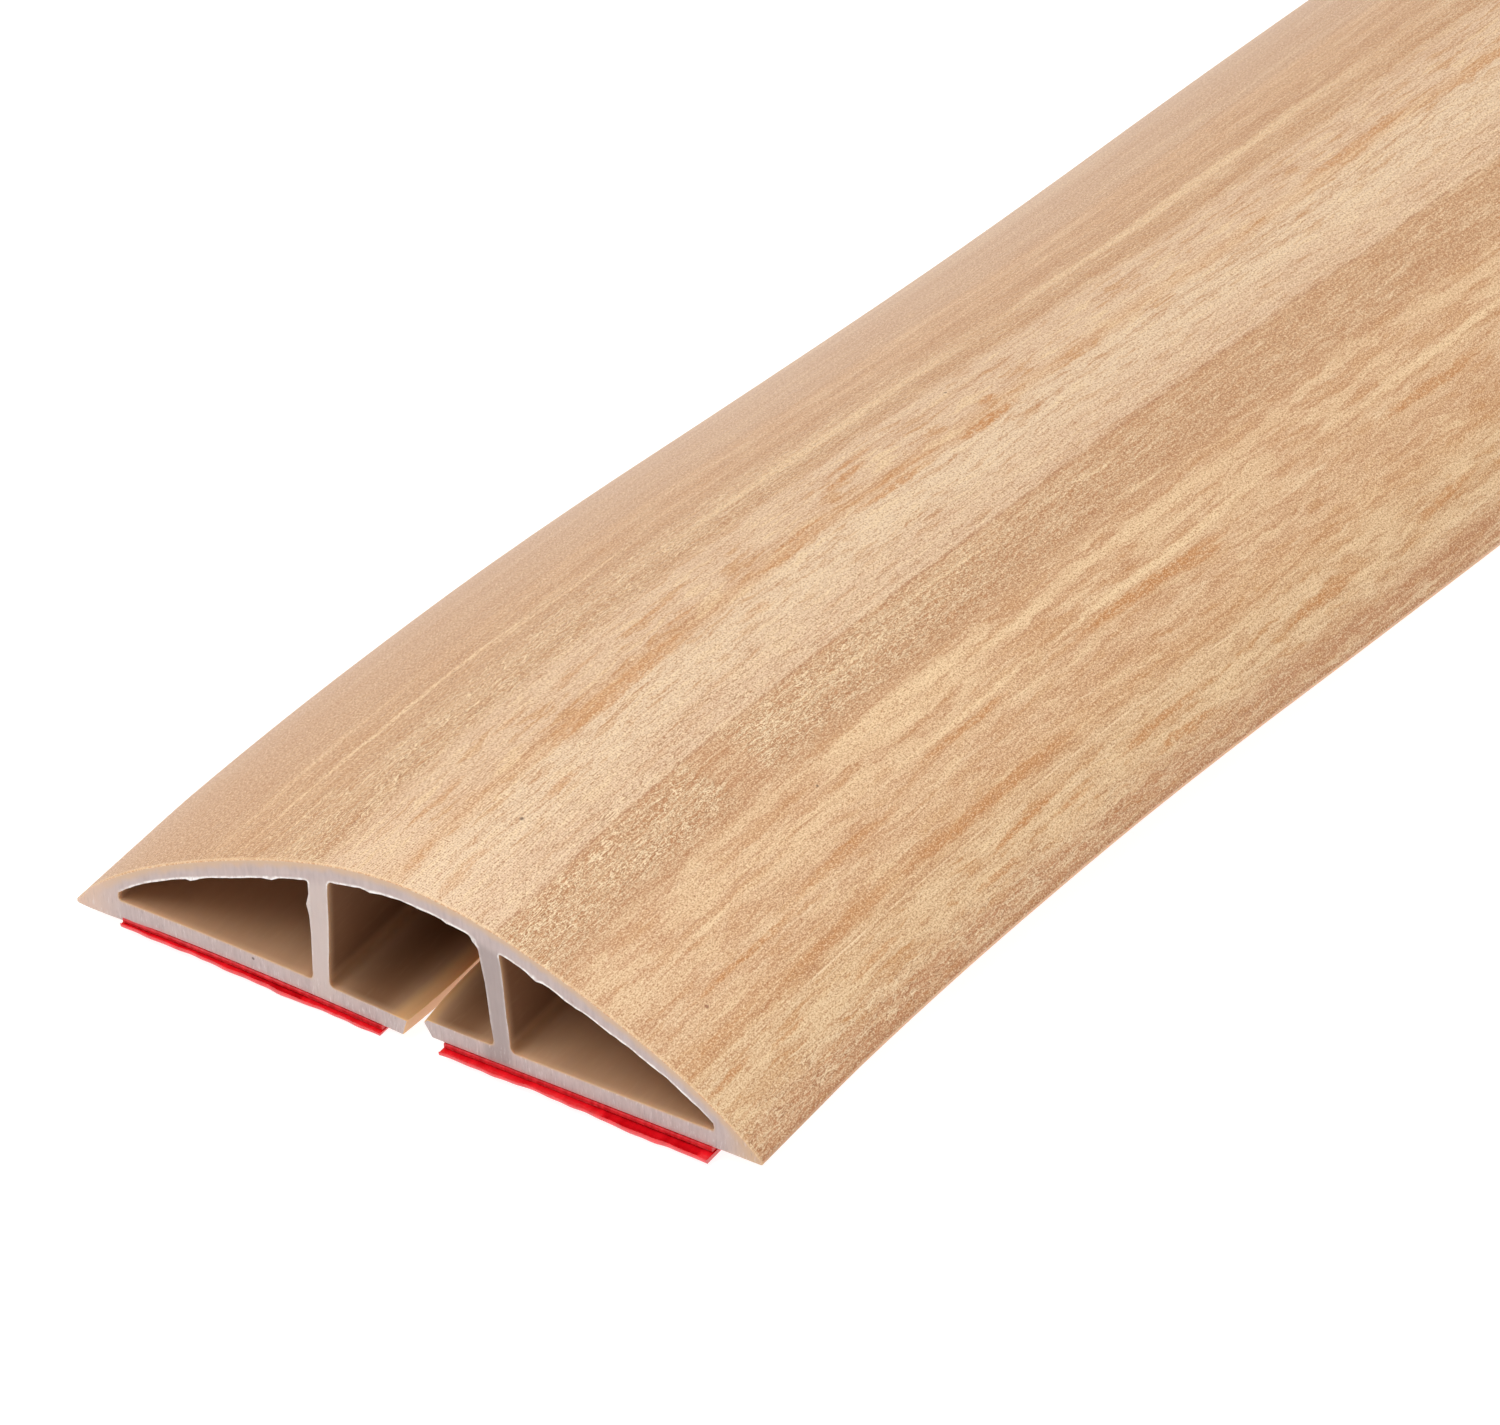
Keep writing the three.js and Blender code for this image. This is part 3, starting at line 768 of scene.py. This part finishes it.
def plain_pvc():
    g = Nodes("soft_pvc")
    x, h, v = g.attr("sec_x"), g.attr("sec_h"), g.attr("end_d")
    n = g.noise(g.vec(g.mul(x, 0.25), g.mul(v, 0.05), g.mul(h, 0.25)), detail=2)
    col = g.mix(g.step(n, 0.3, 0.7), lin((186, 146, 113)), lin((194, 153, 119)))
    # painted shade and light: the colour deepens into the channels and is palest at the cut
    col = g.mix(g.step(v, 8.0, 60.0), col, lin((198, 156, 122)))
    ax = g.m("ABSOLUTE", x)
    # painted shade on the partitions' faces
    wall_painted_shade = g.mul(g.band(ax, 7.3, 10.35, 0.12), g.step(h, 2.0, 3.4))
    col = g.mix(g.mul(wall_painted_shade, 0.78), col, lin((104, 61, 32)))
    # painted light on the side channels' floors, growing from the cut inwards
    floor_painted_light = g.mul(g.step(h, 3.0, 1.9), g.step(ax, 10.2, 11.6))
    col = g.mix(g.mul(g.mul(floor_painted_light, g.step(v, 1.0, 22.0)), 0.85), col, lin((226, 184, 150)))
    # painted shade over the middle channel
    mid = g.mul(g.step(ax, 8.7, 5.0), g.step(ax, 1.0, 4.0))
    col = g.mix(g.mul(mid, 0.75), col, lin((116, 74, 42)))
    # painted light along the edge of the cut
    col = g.mix(g.mul(g.step(v, 0.9, 0.0), 0.35), col, lin((224, 188, 150)))
    # painted light and shade: deep golden along the roots and a pale golden glow along the slit
    root = g.mul(g.step(h, 3.4, 1.8), g.step(g.m("ABSOLUTE", g.m("SUBTRACT", ax, 9.3)), 1.9, 0.9))
    col = g.mix(g.mul(root, 0.45), col, lin((150, 96, 44)))
    slit_painted_glow = g.step(ax, 2.2, 0.9)
    col = g.mix(g.mul(slit_painted_glow, 0.7), col, lin((226, 178, 122)))
    fine = g.noise(g.vec(g.mul(x, 2.4), g.mul(v, 0.35), g.mul(h, 2.4)), detail=3, rough=0.6)
    col = g.mix(g.mul(g.step(fine, 0.5, 0.78), 0.07), col, lin((230, 196, 156)))
    col = g.mix(g.mul(g.step(fine, 0.5, 0.22), 0.06), col, lin((160, 112, 74)))
    g.put(g.b.inputs["Base Color"], col)
    g.b.inputs["Roughness"].default_value = 0.5
    g.b.inputs["Subsurface Weight"].default_value = 0.3
    g.b.inputs["Subsurface Radius"].default_value = (1.0, 0.5, 0.22)
    g.b.inputs["Subsurface Scale"].default_value = 0.0018
    f = g.noise(g.vec(g.mul(x, 2.0), g.mul(v, 0.05), g.mul(h, 2.0)), detail=2)
    g.put(g.b.inputs["Normal"], g.bump(f, 0.1, 0.00003))
    return g.mat


def cut_face():
    g = Nodes("knife_cut_pvc")
    x, h, fd, ed = g.attr("sec_x"), g.attr("sec_h"), g.attr("film_d"), g.attr("edge_d")
    # knife striations: nearly upright, finer on the base
    n = g.noise(g.vec(g.mul(x, 2.4), g.mul(h, 0.30), 0.0), detail=4, rough=0.65)
    blot = g.noise(g.vec(g.mul(x, 0.5), g.mul(h, 0.6), 4.0), detail=2)
    grey = g.mix(g.step(n, 0.28, 0.72), lin((180, 161, 157)), lin((195, 176, 172)))
    grey = g.mix(g.mul(g.step(blot, 0.4, 0.7), 0.4), grey, lin((200, 180, 173)))
    right_w = g.step(g.m("ABSOLUTE", g.m("SUBTRACT", x, 8.7)), 1.8, 0.9)
    grey = g.mix(g.mul(g.mul(right_w, 0.7), g.step(fd, 1.6, 2.6)), grey, lin((154, 138, 134)))
    left_w = g.step(g.m("ABSOLUTE", g.add(x, 8.9)), 1.8, 0.9)
    grey = g.mix(g.mul(g.mul(left_w, 0.7), g.step(fd, 1.6, 2.6)), grey, lin((202, 184, 176)))
    wob = g.mul(g.m("SUBTRACT", g.noise(g.vec(g.mul(x, 0.9), g.mul(h, 0.9), 8.0), detail=2), 0.5), 0.7)
    edge = g.step(g.add(fd, wob), 1.1, 0.3)
    col = g.mix(g.mul(edge, 0.88), grey, lin((206, 172, 140)))
    # the printed film's own edge in orange, with cream specks painted as highlights
    sp = g.noise(g.vec(g.mul(x, 4.0), g.mul(h, 4.0), 6.0), detail=2, rough=0.7)
    film_edge_highlight_col = g.mix(g.step(sp, 0.42, 0.6), lin((206, 148, 98)), lin((238, 212, 172)))
    col = g.mix(g.mul(g.step(fd, 0.26, 0.08), 0.9), col, film_edge_highlight_col)
    # painted highlight on the burr round the channels, where its edges catch the light
    bn = g.noise(g.vec(g.mul(x, 1.6), g.mul(h, 1.6), 12.0), detail=2, rough=0.6)
    burr_painted_highlight = g.mul(g.step(ed, 0.3, 0.08), g.add(0.45, g.mul(g.step(bn, 0.38, 0.56), 0.55)))
    burr_painted_highlight = g.mul(g.mul(burr_painted_highlight, g.step(h, 2.2, 4.4)), g.add(0.25, g.mul(g.step(fd, 2.9, 2.2), 0.75)))
    col = g.mix(burr_painted_highlight, col, lin((250, 243, 238)))
    low = g.mul(g.step(ed, 0.3, 0.05), g.step(h, 3.0, 1.9))
    col = g.mix(g.mul(low, 0.5), col, lin((206, 168, 132)))
    col = g.mix(g.mul(g.step(x, 30.6, 34.2), 0.9), col, lin((200, 165, 134)))
    col = g.mix(g.mul(g.step(x, -29.6, -33.6), 0.8), col, lin((212, 182, 164)))
    # red light through the tape, and scratches, along the foot
    foot = g.mul(g.step(h, 0.5, 0.0), g.mul(g.step(g.m("ABSOLUTE", x), 2.8, 3.2), g.step(g.m("ABSOLUTE", x), 30.4, 30.0)))
    col = g.mix(g.mul(foot, 0.34), col, lin((226, 120, 118)))
    s2 = g.noise(g.vec(g.mul(x, 6.0), g.mul(h, 0.8), 17.0), detail=2, rough=0.6)
    col = g.mix(g.mul(g.mul(g.step(s2, 0.58, 0.7), g.step(h, 2.4, 1.4)), 0.5), col, lin((226, 216, 214)))
    col = g.mix(g.mul(g.mul(g.step(s2, 0.42, 0.3), g.step(h, 2.4, 1.4)), 0.4), col, lin((150, 128, 126)))
    # two specks of dirt
    for x0, h0, r in ((-11.04, 9.15, 0.17), (-16.34, 1.23, 0.13)):
        n2 = g.new("ShaderNodeVectorMath", operation="DISTANCE")
        g.put(n2.inputs[0], g.vec(x, h))
        n2.inputs[1].default_value = (x0, h0, 0)
        col = g.mix(g.mul(g.step(n2.outputs["Value"], r * 1.5, r * 0.6), 0.8), col, lin((82, 62, 52)))
    g.put(g.b.inputs["Base Color"], col)
    g.b.inputs["Roughness"].default_value = 0.55
    g.b.inputs["Subsurface Weight"].default_value = 0.2
    g.b.inputs["Subsurface Radius"].default_value = (1.0, 0.7, 0.55)
    g.b.inputs["Subsurface Scale"].default_value = 0.001
    f = g.noise(g.vec(g.mul(x, 4.0), g.mul(h, 0.5), 3.0), detail=3)
    g.put(g.b.inputs["Normal"], g.bump(f, 0.4, 0.00008))
    return g.mat


film_mat, pvc_mat, cut_mat = wood_film(), plain_pvc(), cut_face()
body = make("cord_cover_extrusion", verts, faces, [film_mat, pvc_mat, cut_mat], f_mat, att, sharp=np.radians(38))
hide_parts("cover_body")
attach(body, "root")


# ------------------------------------------------------------------ tape and its red film
def strip_solid(s, x0, x1, z0, z1, out_fn, drop_fn, nose, lift, name, mats, nx=72):
    """A thin layer under one half of the base. out_fn(x) is how far it runs past the cut, drop_fn(x)
    how far its underside hangs there, nose and lift how far its front edge bulges out and up."""
    xs = np.sort(np.linspace(x0, x1, nx) * s)
    ds = np.concatenate([[0.0, 0.5, 1.2, 2.2, 3.6, 5.6], D[9:]])
    ys = np.concatenate([ds - HALF_L, (HALF_L - ds[:-1])[::-1]])
    dd = HALF_L - np.abs(ys)
    m, n = len(ys), nx
    hang = drop_fn(xs)[None] * smooth(7.0, 0.0, dd)[:, None]
    d = np.repeat(dd[:, None], n, 1)
    d[0] = d[-1] = -out_fn(xs)
    X, Yg = np.repeat(xs[None], m, 0), np.repeat(ys[:, None], n, 1)
    layers = []
    for z, share in ((z0, 1.0), (z1, 0.25)):
        zz = z - hang * share
        layers.append((X, zz, Yg, d))
    vs, at, base = [], {"sec_x": [], "run": [], "sec_h": []}, 0

    def put(X, Z, Yg, d):
        nonlocal base
        p = place(X.ravel(), Z.ravel(), Yg.ravel(), d.ravel())
        vs.append(p)
        at["sec_x"].append(X.ravel())
        at["run"].append(np.where(Yg.ravel() < 0, d.ravel(), LENGTH - d.ravel()))
        at["sec_h"].append(Z.ravel())
        i = np.arange(base, base + X.size).reshape(X.shape)
        base += X.size
        return i

    bottom, top = put(*layers[0]), put(*layers[1])
    fs = []

    def sheet(g, flip):
        q = np.stack([g[:-1, :-1], g[1:, :-1], g[1:, 1:], g[:-1, 1:]], -1).reshape(-1, 4)
        fs.extend(map(tuple, (q[:, ::-1] if flip else q).tolist()))

    sheet(bottom, False)
    sheet(top, True)
    ends = []
    for k in (0, -1):
        t = np.linspace(0, 1, 9)[1:-1, None]
        Z = layers[0][1][k] * (1 - t) + layers[1][1][k] * t + lift * t * np.sin(np.pi * t)
        dk = d[k] - nose * np.sin(np.pi * t) ** 0.7
        mid = put(np.repeat(xs[None], 7, 0), Z, np.full(Z.shape, ys[k]), dk)
        g = np.concatenate([bottom[k][None], mid, top[k][None]])
        sheet(g, k == 0)
        ends.append(g)
    for j in (0, n - 1):
        loop = [int(i) for i in ends[0][::-1, j]] + [int(i) for i in bottom[1:-1, j]]
        loop += [int(i) for i in ends[1][:, j]] + [int(i) for i in top[1:-1, j][::-1]]
        rim_top = [int(i) for i in top[:, j]]
        rim_bot = [int(i) for i in bottom[:, j]]
        for k in range(m - 1):
            q = (rim_bot[k], rim_top[k], rim_top[k + 1], rim_bot[k + 1])
            fs.append(q if j == 0 else q[::-1])
        for e, g in enumerate(ends):
            q = tuple(int(i) for i in g[:, j])
            fs.append(q if (e == 0) == (j == 0) else q[::-1])
    vs = np.concatenate(vs)
    return make(name, vs, fs, mats, None, {k: np.concatenate(v) for k, v in at.items()}, sharp=np.radians(50))


def tape_mat():
    g = Nodes("tinted_clear_tape")
    x, v = g.attr("sec_x"), g.attr("run")
    n = g.noise(g.vec(g.mul(x, 1.5), g.mul(v, 0.3), 0.0), detail=3)
    g.put(g.b.inputs["Base Color"], g.mix(g.step(n, 0.35, 0.65), lin((196, 8, 22)), lin((226, 46, 52))))
    g.b.inputs["Roughness"].default_value = 0.3
    return g.mat


def red_mat():
    g = Nodes("red_release_film")
    x, v = g.attr("sec_x"), g.attr("run")
    n = g.noise(g.vec(g.mul(x, 0.9), g.mul(v, 0.05), 0.0), detail=4)
    near = g.mix(g.step(n, 0.3, 0.7), lin((216, 9, 21)), lin((244, 26, 38)))
    g.put(g.b.inputs["Base Color"], g.mix(g.step(v, 1.5, 6.0), near, lin((222, 12, 26))))
    g.b.inputs["Roughness"].default_value = 0.14
    g.b.inputs["Coat Weight"].default_value = 0.5
    g.b.inputs["Coat Roughness"].default_value = 0.06
    f = g.noise(g.vec(g.mul(x, 0.35), g.mul(v, 0.25), 2.0), detail=2)
    g.put(g.b.inputs["Normal"], g.bump(f, 0.5, 0.0005))
    return g.mat


tape_m, red_m = tape_mat(), red_mat()


def film_out(x):
    """How far the red film shows past the cut."""
    return 0.2 + 0.75 * (x + 30) / 60 + 0.05 * np.sin(x * 0.9) + 0.03 * np.sin(x * 2.3 + 1)


def film_drop(x):
    """How far the cut film's edge curls down: little beside the slit, in a slow wave on the right."""
    wave = 0.16 * np.exp(-(((x + 14) / 4) ** 2)) - 0.2 * np.exp(-(((x - 14) / 4.5) ** 2)) + 0.2 * np.exp(-(((x - 24) / 5) ** 2))
    ripple = 0.02 * np.sin(x * 1.3 + 0.6) + 0.012 * np.sin(x * 3.1)
    return (0.24 + wave + ripple) * np.where(x < 0, np.clip((-x - 3) / 9, 0, 1), 1.0)


for side, s in (("left", -1), ("right", 1)):
    tape = strip_solid(
        s, TAPE_X0, TAPE_X1, TAPE_Z, TAPE_Z + TAPE_T,
        lambda x: 0.02 + 0.06 * (x + 30) / 60, lambda x: 0.0 * x, 0.03, 0.0, side + "_tape_layer", [tape_m],
    )
    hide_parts(side + "_adhesive_tape")
    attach(tape, "root")
    film = strip_solid(
        s, TAPE_X0 - FILM_SIDE, TAPE_X1 + FILM_SIDE, 0.0, FILM_T,
        film_out, film_drop, 0.14, 0.42, side + "_red_film", [red_m],
    )
    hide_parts(side + "_release_liner")
    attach(film, "root")

# ------------------------------------------------------------------ floor, light, camera
fm = Nodes("pale_floor")
fm.b.inputs["Roughness"].default_value = 0.9
fm.b.inputs["Base Color"].default_value = (0.34, 0.34, 0.34, 1)
fm.b.inputs["Specular IOR Level"].default_value = 0.1
fm.b.inputs["Emission Color"].default_value = (1, 1, 1, 1)
fm.b.inputs["Emission Strength"].default_value = 0.9
me = bpy.data.meshes.new("studio_floor")
S = 40.0
me.from_pydata([(-S, -S, -0.00006), (S, -S, -0.00006), (S, S, -0.00006), (-S, S, -0.00006)], [], [(0, 1, 2, 3)])
me.materials.append(fm.mat)
floor = bpy.data.objects.new("studio_floor", me)
bpy.context.scene.collection.objects.link(floor)

world = bpy.data.worlds.new("studio")
bpy.context.scene.world = world
world.use_nodes = True
world.node_tree.nodes["Background"].inputs[0].default_value = (1, 1, 1, 1)
world.node_tree.nodes["Background"].inputs[1].default_value = 0.34


def area_light(name, loc, target, size, power, color=(1, 1, 1)):
    l = bpy.data.lights.new(name, "AREA")
    l.shape = "RECTANGLE"
    l.size, l.size_y = size
    l.energy = power
    l.color = color
    o = bpy.data.objects.new(name, l)
    bpy.context.scene.collection.objects.link(o)
    o.location = loc
    o.rotation_euler = (Vector(target) - Vector(loc)).to_track_quat("-Z", "Y").to_euler()
    return o


area_light("top_softbox", (0.2, -0.3, 1.9), (0, -0.45, 0), (1.8, 1.8), 16)
area_light("key_softbox", (-0.35, -1.5, 1.8), (0, -0.45, 0), (1.6, 1.6), 27)

cam = bpy.data.cameras.new("photo_camera")
cam.sensor_width = 36
cam.lens = 236.2325
cam.clip_start = 0.05
cam.clip_end = 200
co = bpy.data.objects.new("photo_camera", cam)
bpy.context.scene.collection.objects.link(co)
right = Vector((0.832895, 0.55305, 0.020525))
down = Vector((0.303278, -0.425087, -0.852833))
fwd = Vector((-0.462935, 0.716545, -0.52178))
co.matrix_world = Matrix(
    (
        (right.x, -down.x, -fwd.x, 0.395343),
        (right.y, -down.y, -fwd.y, -1.161382),
        (right.z, -down.z, -fwd.z, 0.453023),
        (0, 0, 0, 1),
    )
)
bpy.context.scene.camera = co
bpy.context.scene.view_settings.view_transform = "Standard"
bpy.context.scene.view_settings.look = "None"
